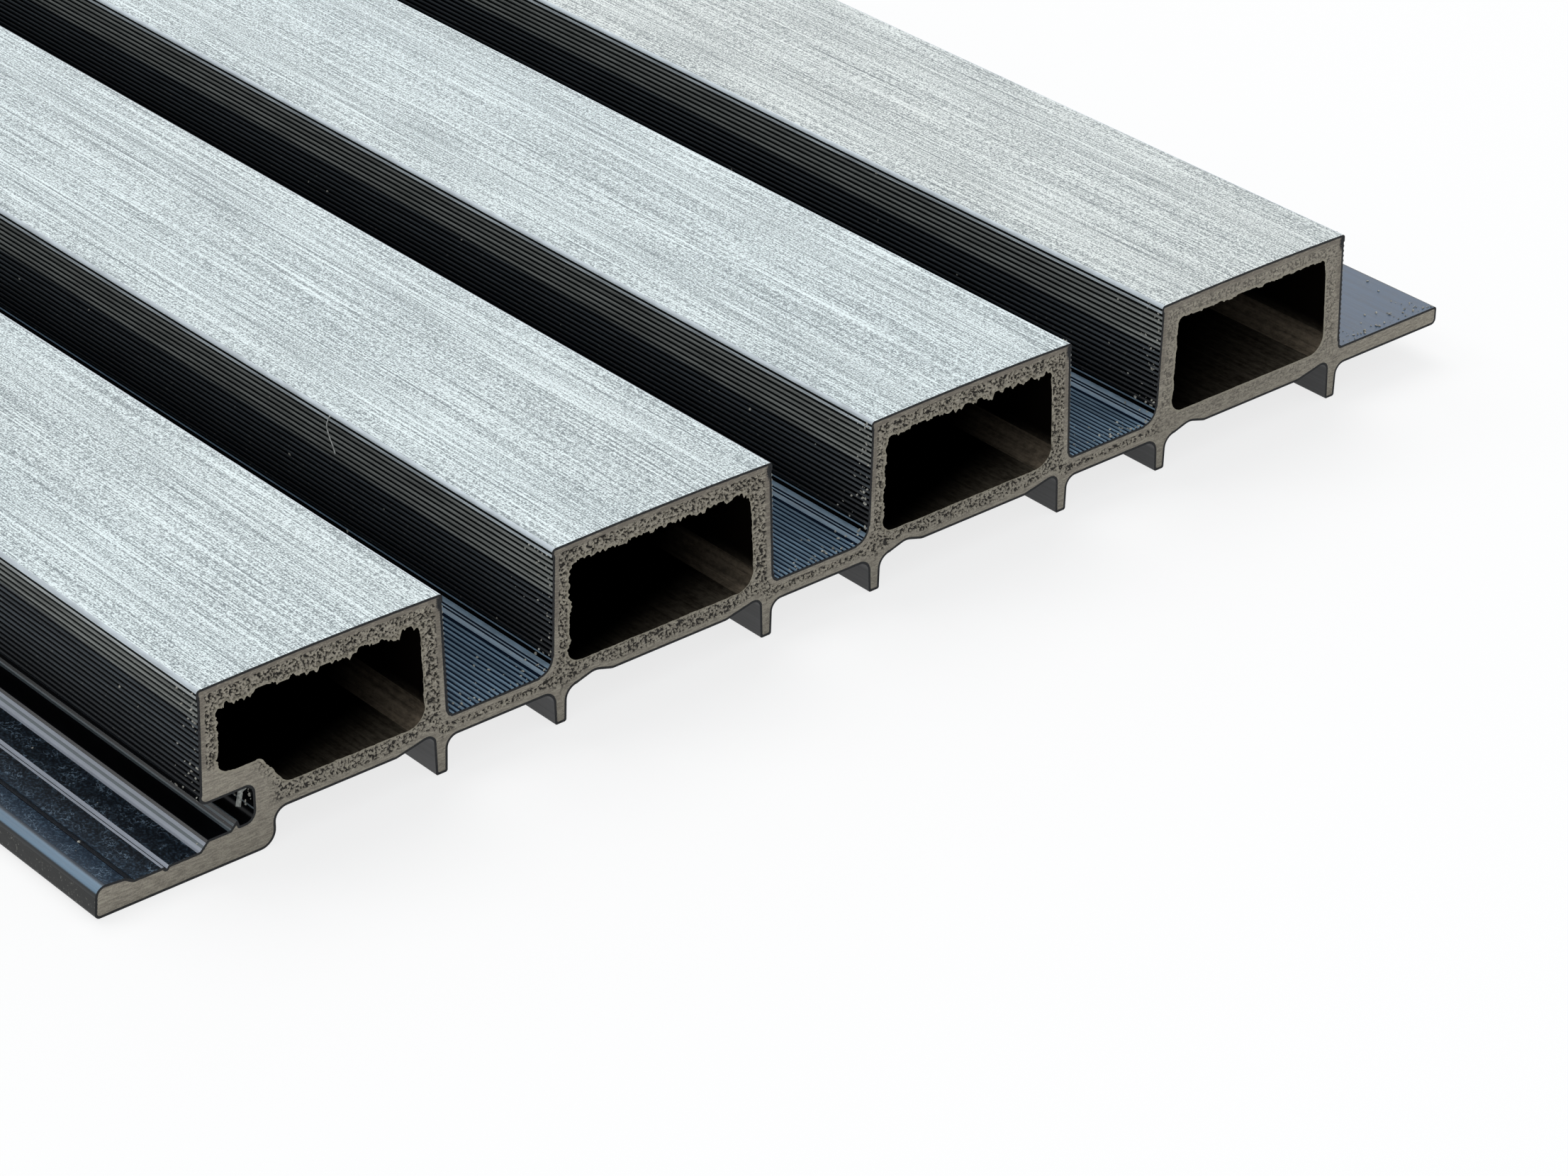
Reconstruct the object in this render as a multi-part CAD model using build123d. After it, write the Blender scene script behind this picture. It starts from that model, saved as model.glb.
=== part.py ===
from build123d import *
import os
from math import radians, sin, tan

# A hollow, fluted cladding panel: one extrusion with raised ribs, grooves between them, a fixing
# flange with an interlock slot on its left edge and a flat lip on its right edge.
# Sizes are millimetres. X runs across the panel, Y along it, and Z up from the feet it lies on.
# Section places count X from the middle of the first rib, and the whole is centred at the end.

# Overall
panel_length = 2900.0
rib_count = 4
rib_pitch = 50.0

# Ribs, grooves and the back plate
rib_height = 16.5
rib_top_width = 33.9
rib_side_draft = 0.5
rib_crown = 0.25
rib_edge_radius = 0.5
rib_left_root_radius = 1.9
rib_right_root_radius = 0.4
plate_thickness = 3.1

# Hollow chamber inside each rib
left_wall = 2.4
last_left_wall = 3.0
right_wall = 3.3
top_wall = 2.6
chamber_top_radius = 1.2
chamber_left_radius = 2.0
chamber_right_radius = 2.6

# Feet under the plate, each with a shallow relief beside it where the rib above is hollow
foot_height = 4.6
foot_root_width = 2.0
foot_tip_width = 1.7
foot_inset = 1.35
foot_tip_radius = 0.3
foot_groove_side_radius = 1.5
right_foot_relief_radius = 1.0
right_relief_depth = 0.9
right_relief_flat = 1.2
right_relief_width = 5.4
left_foot_relief_radius = 1.8
left_relief_offset = 1.6
left_relief_depth = 0.7
left_relief_width = 5.4
relief_edge_radius = 2.0

# Nose on the first rib and the interlock slot under it
nose_proud = 0.35
nose_corner_radius = 1.1
nose_thickness = 3.05
slot_depth = 7.3
slot_floor_rise = 0.1
slot_roof_radius = 1.0
slot_floor_radius = 1.3
slot_web_offset = 1.2
slot_web_run = 3.4
slot_web_top_radius = 0.8

# Barb on the slot's floor: a ramp towards the mouth and a steep back
barb_height = 0.95
barb_ramp = 1.0
barb_back = 0.3
barb_crest_radius = 0.12
barb_inset = 2.0

# Fixing flange
flange_reach = 14.7
flange_step_start = 0.9
flange_step_drop = 1.15
recess_width = 8.9
recess_corner_radius = 0.3
screw_groove_width = 0.7
screw_groove_depth = 0.35
screw_groove_inset = 4.6
ramp_run = 1.2
tip_land_rise = 0.7
tip_land_slope = 0.35
flange_tip_radius = 1.4
flange_tip_draft = 0.4
flange_bottom_radius = 0.7
flange_root_clear = 2.9
flange_root_corner_radius = 2.2
flange_root_fillet = 1.7

# Lip that enters the neighbour's slot, with the gaps left under, over and before it there
lip_step = 0.45
lip_floor_gap = 0.15
lip_roof_gap = 1.85
lip_barb_gap = 0.1
lip_tip_top_radius = 0.5
lip_tip_bottom_radius = 0.8

# Levels worked out from the sizes above
underside = foot_height
groove_floor = underside + plate_thickness
rib_top = groove_floor + rib_height
rib_base_width = rib_top_width + 2 * rib_side_draft
chamber_roof = rib_top - top_wall
lip_top = groove_floor - lip_step
slot_floor = underside - lip_floor_gap
slot_roof = lip_top + lip_roof_gap
flange_top = slot_floor - slot_floor_rise

# Places across the section
cover_width = rib_count * rib_pitch
nose_outer = -rib_base_width / 2 - nose_proud
slot_inner = nose_outer + slot_depth
barb_foot = slot_inner - barb_inset - barb_back - barb_ramp
step_top = nose_outer + flange_step_start
step_bottom = step_top - flange_step_drop
recess_left = step_bottom - recess_width
flange_tip = nose_outer - flange_reach
lip_tip = cover_width + barb_foot + barb_ramp / 2 - lip_barb_gap
last_rib = (rib_count - 1) * rib_pitch
foot_place = rib_base_width / 2 - foot_inset


def rounded_face(corners):
    """Face inside a closed outline of (x, z, radius) corners, each turned by a tangent arc."""
    count = len(corners)
    arrivals, middles, departures = [], [], []
    for index, (x, z, radius) in enumerate(corners):
        corner = Vector(x, z)
        back = (Vector(*corners[index - 1][:2]) - corner).normalized()
        ahead = (Vector(*corners[(index + 1) % count][:2]) - corner).normalized()
        half_angle = radians(back.get_angle(ahead)) / 2
        reach = radius / tan(half_angle)
        to_arc = radius / sin(half_angle) - radius
        arrivals.append(corner + back * reach)
        departures.append(corner + ahead * reach)
        middles.append(corner + (back + ahead).normalized() * to_arc)
    with BuildSketch(Plane.XZ) as sketch:
        with BuildLine():
            for index in range(count):
                if corners[index][2] > 0:
                    ThreePointArc(arrivals[index], middles[index], departures[index])
                following = arrivals[(index + 1) % count]
                if (following - departures[index]).length > 1e-6:
                    Line(departures[index], following)
        make_face()
    return sketch.sketch


def arc_corner(left, right, level, bulge, edge_radius):
    """Corner midway from left to right whose wide arc rises by the bulge over the level."""
    half_width = (right - left) / 2
    reach = half_width - edge_radius
    rise = bulge / (1 - reach / (2 * half_width))
    return ((left + right) / 2, level + rise, reach * half_width / rise)


def crown_corner(centre):
    """Crown that bulges a rib's top from edge to edge."""
    half_width = rib_top_width / 2
    return arc_corner(centre - half_width, centre + half_width, rib_top, rib_crown, 2 * rib_edge_radius)


def first_rib_corners():
    """Top of the first rib, from the nose at its left to the groove at its right."""
    return [
        (nose_outer, slot_roof, nose_corner_radius),
        (-rib_top_width / 2 - nose_proud, rib_top, rib_edge_radius),
        crown_corner(0),
        (rib_top_width / 2, rib_top, rib_edge_radius),
        (rib_base_width / 2, groove_floor, rib_right_root_radius),
    ]


def next_rib_corners(centre):
    """A rib from the groove at its left to the groove or the lip at its right."""
    right_floor = lip_top if centre == last_rib else groove_floor
    return [
        (centre - rib_base_width / 2, groove_floor, rib_left_root_radius),
        (centre - rib_top_width / 2, rib_top, rib_edge_radius),
        crown_corner(centre),
        (centre + rib_top_width / 2, rib_top, rib_edge_radius),
        (centre + rib_base_width / 2, right_floor, rib_right_root_radius),
    ]


def lip_corners():
    """Tip of the lip, from its top to its underside."""
    return [
        (lip_tip, lip_top, lip_tip_top_radius),
        (lip_tip, underside, lip_tip_bottom_radius),
    ]


def right_foot_corners(centre):
    """Foot under a rib's right wall, from its groove side round to the relief beside it."""
    middle = centre + foot_place
    relief = middle - foot_root_width / 2
    relief_roof = underside + right_relief_depth
    return [
        (middle + foot_root_width / 2, underside, foot_groove_side_radius),
        (middle + foot_tip_width / 2, 0, foot_tip_radius),
        (middle - foot_tip_width / 2, 0, foot_tip_radius),
        (relief, relief_roof, right_foot_relief_radius),
        (relief - right_relief_flat, relief_roof, relief_edge_radius),
        (relief - right_relief_width, underside, relief_edge_radius),
    ]


def left_foot_corners(centre):
    """Foot under a rib's left wall, from the dished relief near it round to its groove side."""
    middle = centre - foot_place
    foot_side = middle + foot_root_width / 2
    relief = foot_side + left_relief_offset
    relief_end = relief + left_relief_width
    return [
        (relief_end, underside, relief_edge_radius),
        arc_corner(relief, relief_end, underside, left_relief_depth, relief_edge_radius),
        (relief, underside, relief_edge_radius),
        (foot_side, underside, left_foot_relief_radius),
        (middle + foot_tip_width / 2, 0, foot_tip_radius),
        (middle - foot_tip_width / 2, 0, foot_tip_radius),
        (middle - foot_root_width / 2, underside, foot_groove_side_radius),
    ]


def flange_corners():
    """Fixing flange, from its root under the first rib, round its tip and up to the slot."""
    ramp_top = recess_left - ramp_run
    recess_floor = flange_top - flange_step_drop
    land_end = recess_floor + tip_land_rise
    root = slot_inner + flange_root_clear
    screw_groove = step_bottom - screw_groove_inset
    half_groove = screw_groove_width / 2
    root_fillet = min(flange_root_fillet, underside - flange_root_corner_radius)
    return [
        (root, underside, root_fillet),
        (root, 0, flange_root_corner_radius),
        (flange_tip, 0, flange_bottom_radius),
        (flange_tip + flange_tip_draft, land_end + tip_land_slope, flange_tip_radius),
        (ramp_top, land_end, recess_corner_radius),
        (recess_left, recess_floor, recess_corner_radius),
        (screw_groove - half_groove, recess_floor, 0),
        (screw_groove, recess_floor - screw_groove_depth, 0),
        (screw_groove + half_groove, recess_floor, 0),
        (step_bottom, recess_floor, recess_corner_radius),
        (step_top, flange_top, recess_corner_radius),
    ]


def slot_corners():
    """Slot floor with its barb, the slot's inner wall and its roof under the nose."""
    barb_crest = barb_foot + barb_ramp
    return [
        (barb_foot, flange_top, 0),
        (barb_crest, slot_floor + barb_height, barb_crest_radius),
        (barb_crest + barb_back, slot_floor, 0),
        (slot_inner, slot_floor, slot_floor_radius),
        (slot_inner, slot_roof, slot_roof_radius),
    ]


def outline():
    """Outer outline of the section, clockwise from the nose."""
    corners = first_rib_corners()
    for index in range(1, rib_count):
        corners += next_rib_corners(index * rib_pitch)
    corners += lip_corners()
    for index in reversed(range(1, rib_count)):
        corners += right_foot_corners(index * rib_pitch)
        corners += left_foot_corners(index * rib_pitch)
    corners += right_foot_corners(0)
    corners += flange_corners()
    corners += slot_corners()
    return rounded_face(corners)


def chamber(centre):
    """Hollow inside a rib, its sides following the rib's own draft."""
    wall = last_left_wall if centre == last_rib else left_wall
    left_top = centre - rib_top_width / 2 + wall
    right_top = centre + rib_top_width / 2 - right_wall
    return rounded_face(
        [
            (left_top - rib_side_draft, groove_floor, chamber_left_radius),
            (left_top, chamber_roof, chamber_top_radius),
            (right_top, chamber_roof, chamber_top_radius),
            (right_top + rib_side_draft, groove_floor, chamber_right_radius),
        ]
    )


def first_chamber():
    """Hollow inside the first rib, raised at its left to pass over the slot."""
    left_top = -rib_top_width / 2 - nose_proud + left_wall
    right_top = rib_top_width / 2 - right_wall
    pocket_floor = slot_roof + nose_thickness
    web = slot_inner + slot_web_offset
    return rounded_face(
        [
            (left_top - rib_side_draft, pocket_floor, chamber_left_radius),
            (left_top, chamber_roof, chamber_top_radius),
            (right_top, chamber_roof, chamber_top_radius),
            (right_top + rib_side_draft, groove_floor, chamber_right_radius),
            (web + slot_web_run, groove_floor, chamber_left_radius),
            (web, pocket_floor, slot_web_top_radius),
        ]
    )


def panel():
    """The whole panel, centred over its footprint with its feet on the ground plane."""
    section = outline() - first_chamber()
    for index in range(1, rib_count):
        section -= chamber(index * rib_pitch)
    middle = section.bounding_box().center().X
    return Pos(-middle, 0, 0) * extrude(section, amount=panel_length / 2, both=True)


os.makedirs("parts", exist_ok=True)
fluted_panel = panel()
fluted_panel.label = "fluted_panel"
export_step(fluted_panel, "parts/fluted_panel.step")
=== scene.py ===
import bpy
import bmesh
import numpy as np
from math import ceil, cos, exp, hypot, pi, radians, sin, tan
from mathutils import Matrix, Vector, kdtree, noise
from mathutils.geometry import delaunay_2d_cdt


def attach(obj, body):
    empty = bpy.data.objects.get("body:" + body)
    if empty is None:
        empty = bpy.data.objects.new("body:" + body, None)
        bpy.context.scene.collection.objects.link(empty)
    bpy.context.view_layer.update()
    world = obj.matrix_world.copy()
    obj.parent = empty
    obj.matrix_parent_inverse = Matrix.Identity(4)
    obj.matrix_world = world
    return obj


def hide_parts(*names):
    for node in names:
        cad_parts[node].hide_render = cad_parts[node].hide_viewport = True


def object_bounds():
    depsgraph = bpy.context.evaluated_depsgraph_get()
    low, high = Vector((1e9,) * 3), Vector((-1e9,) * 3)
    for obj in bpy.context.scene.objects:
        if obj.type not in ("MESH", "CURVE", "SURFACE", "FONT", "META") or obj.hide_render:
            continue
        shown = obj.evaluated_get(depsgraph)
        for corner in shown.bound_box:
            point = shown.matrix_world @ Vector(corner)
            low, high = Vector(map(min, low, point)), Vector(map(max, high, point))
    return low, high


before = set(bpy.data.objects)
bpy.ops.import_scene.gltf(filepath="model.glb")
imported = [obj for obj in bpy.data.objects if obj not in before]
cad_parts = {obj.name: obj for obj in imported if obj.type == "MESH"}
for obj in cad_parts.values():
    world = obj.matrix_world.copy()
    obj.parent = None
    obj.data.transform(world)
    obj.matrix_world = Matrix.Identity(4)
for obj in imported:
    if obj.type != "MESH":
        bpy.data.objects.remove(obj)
cadLow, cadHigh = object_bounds()
mm = 0.001
print("frame loaded")


# sockets that can be added, subtracted and multiplied
class Wire:
    def __init__(self, socket):
        self.socket = socket

    def sibling(self, name):
        return Wire(self.socket.node.outputs[name])

    def maths(self, operation, other=0.0, swapped=False):
        node = self.socket.id_data.nodes.new("ShaderNodeMath")
        node.operation = operation
        feed(node.inputs[1 if swapped else 0], self)
        feed(node.inputs[0 if swapped else 1], other)
        return Wire(node.outputs[0])

    def __add__(self, other):
        return self.maths("ADD", other)

    def __radd__(self, other):
        return self.maths("ADD", other, True)

    def __sub__(self, other):
        return self.maths("SUBTRACT", other)

    def __rsub__(self, other):
        return self.maths("SUBTRACT", other, True)

    def __mul__(self, other):
        return self.maths("MULTIPLY", other)

    def __rmul__(self, other):
        return self.maths("MULTIPLY", other, True)


def feed(socket, value):
    if isinstance(value, Wire):
        socket.id_data.links.new(value.socket, socket)
    else:
        socket.default_value = value


class Board:  # a node tree, and the one way that nodes get onto it
    def __init__(self, tree, material=None):
        self.tree = tree
        self.material = material

    def add(self, kind, settings=None, inputs=None, out=0):
        node = self.tree.nodes.new(kind)
        for name, value in (settings or {}).items():
            setattr(node, name, value)
        for name, value in (inputs or {}).items():
            feed(node.inputs[name], value)
        return Wire(node.outputs[out]) if len(node.outputs) else node

    def mix(self, factor, first, second, blend="MIX"):
        return self.add("ShaderNodeMix", {"data_type": "RGBA", "blend_type": blend},
                        {0: factor, 6: first, 7: second}, 2)

    def spread(self, value, low, high, toLow=0.0, toHigh=1.0):  # smooth step from low to high
        return self.add("ShaderNodeMapRange", {"interpolation_type": "SMOOTHSTEP"},
                        {0: value, 1: low, 2: high, 3: toLow, 4: toHigh})

    def spot(self, axis):  # section x, run along or height of what is shaded, in millimetres
        at = self.add("ShaderNodeTexCoord", out="Object")
        part = self.add("ShaderNodeSeparateXYZ", None, {0: at}, axis) * 1000
        return part - acrossShift if axis == "X" else part

    def place(self, perMm):  # object coordinates, as repeats to the millimetre along each axis
        at = self.add("ShaderNodeTexCoord", out="Object")
        return self.add("ShaderNodeMapping", None, {"Vector": at, "Scale": [n / mm for n in perMm]})

    def cloud(self, perMm, detail=2.0, rough=0.5):
        return self.add("ShaderNodeTexNoise", None, {
            "Vector": self.place(perMm), "Scale": 1.0, "Detail": detail, "Roughness": rough})

    def line(self, perMm, halfWidth, detail=1.0):  # thin lines, where a cloud crosses its middle
        away = (self.cloud(perMm, detail) - 0.5).maths("ABSOLUTE")
        return self.spread(away, 0.0, halfWidth, 1.0, 0.0)

    def attribute(self, name, kind="FLOAT"):  # a stored attribute, in a shape's tree
        return self.add("GeometryNodeInputNamedAttribute", {"data_type": kind}, {"Name": name})

    def stored(self, name):  # the same in a material's tree
        return self.add("ShaderNodeAttribute", {"attribute_name": name}, out="Fac")

    def bump(self, strength, depth, height):  # depth in millimetres
        inputs = {"Strength": strength, "Distance": depth * mm, "Height": height}
        return self.add("ShaderNodeBump", None, inputs)

    def finish(self, colour, roughness, bump=None, gloss=0.5):
        inputs = {"Base Color": colour, "Roughness": roughness, "Specular IOR Level": gloss}
        if bump:
            inputs["Normal"] = bump
        shader = self.add("ShaderNodeBsdfPrincipled", None, inputs)
        self.add("ShaderNodeOutputMaterial", None, {"Surface": shader})
        return self.material


def materialBoard(name):
    material = bpy.data.materials.new(name)
    material.use_nodes = True
    material.node_tree.nodes.clear()
    return Board(material.node_tree, material)


def paint(red, green, blue):  # a colour as it is seen, 0 to 255, made linear
    def line(value):
        value /= 255
        return value / 12.92 if value <= 0.04045 else ((value + 0.055) / 1.055) ** 2.4
    return (line(red), line(green), line(blue), 1.0)


black, white = (0, 0, 0, 1), (1, 1, 1, 1)

# the section, in millimetres: x from the middle of the first rib, z up from the feet
section = {
    "ribCount": 4,
    "ribPitch": 50.0,
    "ribHeight": 16.5,
    "ribTopWidth": 33.9,
    "ribSideDraft": 0.5,
    "ribCrown": 0.225,  # a hair under the frame's, which keeps it in the box
    "ribEdgeRadius": 0.5,
    "leftRootRadius": 1.9,
    "rightRootRadius": 0.4,
    "plateThickness": 3.1,
    "leftWall": 2.4,
    "lastLeftWall": 3.0,
    "rightWall": 3.3,
    "topWall": 2.6,
    "chamberTopRadius": 1.2,
    "chamberLeftRadius": 2.0,
    "chamberRightRadius": 2.6,
    "footHeight": 4.6,
    "footRootWidth": 2.0,
    "footTipWidth": 1.7,
    "footInset": 1.35,
    "footTipRadius": 0.3,
    "footGrooveSideRadius": 1.5,
    "rightReliefRadius": 1.0,
    "rightReliefDepth": 0.9,
    "rightReliefFlat": 1.2,
    "rightReliefWidth": 5.4,
    "leftReliefRadius": 1.8,
    "leftReliefOffset": 1.6,
    "leftReliefDepth": 0.7,
    "leftReliefWidth": 5.4,
    "reliefEdgeRadius": 2.0,
    "noseProud": 0.35,
    "noseRadius": 1.1,
    "noseThickness": 3.05,
    "slotDepth": 7.3,
    "slotFloorRise": 0.1,
    "slotRoofRadius": 1.0,
    "slotFloorRadius": 1.3,
    "webOffset": 1.2,
    "webRun": 3.4,
    "webTopRadius": 0.8,
    "barbHeight": 0.95,
    "barbRamp": 1.0,
    "barbBack": 0.3,
    "barbCrestRadius": 0.12,
    "barbInset": 2.0,
    "flangeReach": 14.7,
    "stepStart": 0.9,
    "stepDrop": 1.15,
    "recessWidth": 8.9,
    "recessRadius": 0.3,
    "screwGrooveWidth": 0.7,
    "screwGrooveDepth": 0.35,
    "screwGrooveInset": 4.6,
    "rampRun": 1.2,
    "landRise": 0.7,
    "landSlope": 0.35,
    "tipRadius": 1.4,
    "tipDraft": 0.4,
    "flangeBottomRadius": 0.7,
    "rootClear": 2.9,
    "rootCornerRadius": 2.2,
    "rootFillet": 1.7,
    "lipStep": 0.45,
    "lipFloorGap": 0.15,
    "lipRoofGap": 1.85,
    "lipBarbGap": 0.1,
    "lipTopRadius": 0.5,
    "lipBottomRadius": 0.8,
}

# fine lengthwise beads on the flutes' walls and floors
bead = {
    "pitch": 0.693,
    "width": 0.40,
    "height": 0.15,
    "ridgeTop": 0.70,  # the wide ridge over the beads, down from a rib's top corner
    "ridgeFoot": 1.10,
    "firstDown": 1.75,  # from a rib's top corner to the first bead on its wall
    "firstAcross": 0.58,  # from a wall to the first bead on the floor
    "onNose": 18,
    "onLeftWall": 19,
    "onRightWall": 21,
    "onFloor": 19,
    "sides": 10,
    "bandEdge": 0.03,  # the run of the step down to the sunk band that the beads stand on
    "bandFromWall": 0.44,  # from a wall to that band on the floor
}

underside = section["footHeight"]
grooveFloor = underside + section["plateThickness"]
ribTop = grooveFloor + section["ribHeight"]
halfTop = section["ribTopWidth"] / 2
halfBase = halfTop + section["ribSideDraft"]
chamberRoof = ribTop - section["topWall"]
lipTop = grooveFloor - section["lipStep"]
slotFloor = underside - section["lipFloorGap"]
slotRoof = lipTop + section["lipRoofGap"]
flangeTop = slotFloor - section["slotFloorRise"]
noseOuter = -halfBase - section["noseProud"]
slotInner = noseOuter + section["slotDepth"]
barbFoot = slotInner - section["barbInset"] - section["barbBack"] - section["barbRamp"]
stepTop = noseOuter + section["stepStart"]
stepBottom = stepTop - section["stepDrop"]
flangeTip = noseOuter - section["flangeReach"]
coverWidth = section["ribCount"] * section["ribPitch"]
lipTip = coverWidth + barbFoot + section["barbRamp"] / 2 - section["lipBarbGap"]
ribCentres = [index * section["ribPitch"] for index in range(section["ribCount"])]
lastRib = ribCentres[-1]
footPlace = halfBase - section["footInset"]


def distanceTo(start, end):
    return hypot(end[0] - start[0], end[1] - start[1])


def along(start, end, distance, sink=0.0):  # a point on a wall's line, sunk to its right
    span = distanceTo(start, end)
    across, rise = (end[0] - start[0]) / span, (end[1] - start[1]) / span
    return (start[0] + across * distance + rise * sink, start[1] + rise * distance - across * sink)


def sunkRun(start, end, marks, place):  # corners of a run whose marks are (distance, depth)
    return [(*along(start, end, distance, depth), 0, place + ("Gap" if depth else "Band"))
            for distance, depth in marks]


def endInGap(run, place):
    return run[:-1] + [(*run[-1][:3], place + "Gap")]


def wallMarks(count):  # one wide ridge, then the sunk band that the beads stand on
    sunk, edge = bead["height"], bead["bandEdge"]
    last = bead["firstDown"] + (count - 1) * bead["pitch"] + bead["width"] / 2 + edge
    ridge = [(bead["ridgeTop"], 0), (bead["ridgeFoot"], 0)]
    return ridge + [(bead["ridgeFoot"] + edge, sunk), (last, sunk), (last + edge, 0)]


def leftWall(bottom, top, count):
    length = distanceTo(bottom, top)
    marks = [(length - distance, depth) for distance, depth in reversed(wallMarks(count))]
    return endInGap(sunkRun(bottom, top, marks, "wall"), "wall")


def floorRun(left, right):  # the beads' sunk band, up to the next wall's root
    sunk, edge, start = bead["height"], bead["bandEdge"], bead["bandFromWall"]
    last = bead["firstAcross"] + (bead["onFloor"] - 1) * bead["pitch"] + bead["width"] / 2 - edge
    marks = [(start, 0), (start + edge, sunk), (last, sunk), (last + edge, 0)]
    return endInGap(sunkRun(left, right, marks, "floor"), "floor")


def archCorner(left, right, level, bulge, edgeRadius, zone):
    halfWidth = (right - left) / 2
    reach = halfWidth - edgeRadius
    rise = bulge / (1 - reach / (2 * halfWidth))
    return ((left + right) / 2, level + rise, reach * halfWidth / rise, zone)


# zones along the rounded corners, each from a share of the arc; edge is a painted highlight on a rib top's
# corner, and the pale zones on a flute's root are a painted reflection of the sky
leftEdge = [(0, "wallGap"), (0.12, "edge")]
rightEdge = [(0, "edge"), (0.5, "wallGap")]
fluteRoot = [
    (0, "floorGap"), (0.11, "floorPale"), (0.315, "floorGap"), (0.385, "floorBand"), (0.44, "floorGap"),
    (0.525, "floorPale"), (0.72, "wallGap"), (0.89, "floorPale"), (0.955, "wallGap")]


def ribOutline(centre):  # a rib's bottom left, top left, top right and bottom right
    first, last = centre == 0, centre == lastRib
    bottomLeft = (noseOuter, slotRoof) if first else (centre - halfBase, grooveFloor)
    topLeft = (centre - halfTop - (section["noseProud"] if first else 0), ribTop)
    bottomRight = (centre + halfBase, lipTop if last else grooveFloor)
    return bottomLeft, topLeft, (centre + halfTop, ribTop), bottomRight


def nextRibFoot(centre):
    return (centre + section["ribPitch"] - halfBase, grooveFloor)


def ribCorners(centre):
    s = section
    first, last = centre == 0, centre == lastRib
    edge = s["ribEdgeRadius"]
    bottomLeft, topLeft, topRight, bottomRight = ribOutline(centre)
    root = (s["noseRadius"], "wallGap") if first else (s["leftRootRadius"], (fluteRoot, "wallGap"))
    corners = [(*bottomLeft, *root)]
    corners += leftWall(bottomLeft, topLeft, bead["onNose"] if first else bead["onLeftWall"])
    corners.append((*topLeft, edge, (leftEdge, "top")))
    corners.append(archCorner(centre - halfTop, centre + halfTop, ribTop, s["ribCrown"], 2 * edge, "top"))
    corners.append((*topRight, edge, (rightEdge, "wallGap")))
    corners += sunkRun(topRight, bottomRight, wallMarks(bead["onRightWall"]), "wall")
    corners.append((*bottomRight, s["rightRootRadius"], ("wallGap", "lip" if last else "floorBand")))
    return corners if last else corners + floorRun(bottomRight, nextRibFoot(centre))


def footCorners(centre, side):
    s = section
    edge, grooveSide = s["reliefEdgeRadius"], s["footGrooveSideRadius"]
    middle = centre + side * footPlace
    halfRoot, halfTip = s["footRootWidth"] / 2, s["footTipWidth"] / 2
    tips = [(middle + halfTip, 0, s["footTipRadius"]), (middle - halfTip, 0, s["footTipRadius"])]
    if side > 0:
        relief, roof = middle - halfRoot, underside + s["rightReliefDepth"]
        run = [(middle + halfRoot, underside, grooveSide), *tips, (relief, roof, s["rightReliefRadius"]),
               (relief - s["rightReliefFlat"], roof, edge), (relief - s["rightReliefWidth"], underside, edge)]
    else:
        relief = middle + halfRoot + s["leftReliefOffset"]
        reliefEnd = relief + s["leftReliefWidth"]
        dish = archCorner(relief, reliefEnd, underside, s["leftReliefDepth"], edge, "under")
        run = [(reliefEnd, underside, edge), dish[:3], (relief, underside, edge),
               (middle + halfRoot, underside, s["leftReliefRadius"]), *tips,
               (middle - halfRoot, underside, grooveSide)]
    return [(*corner, "under") for corner in run]


# pale lines that light draws on the flange, as (share of the way up, zone)
stepLines = [(0.26, "ribbonDim"), (0.48, "ribbon"), (0.74, "gloss")]
barbLines = [(0.12, "gloss"), (0.36, "ribbonDim"), (0.56, "gloss")]
# how far the painted highlights reach before the groove, the step and the barb
ribbonReach = {"beforeGroove": 0.33, "beforeStep": 0.38, "beforeBarb": 0.35}
slotLine = (0.1, 0.35)  # a thin dim painted highlight on the slot's inner wall, up from the floor's corner
grooveLine = (0.06, 0.05)  # across and down to where a painted highlight starts on the groove's left side


def part(start, end, lines):  # corners on the way from start to end
    return [(start[0] + share * (end[0] - start[0]), start[1] + share * (end[1] - start[1]), 0, zone)
            for share, zone in lines]


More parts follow.
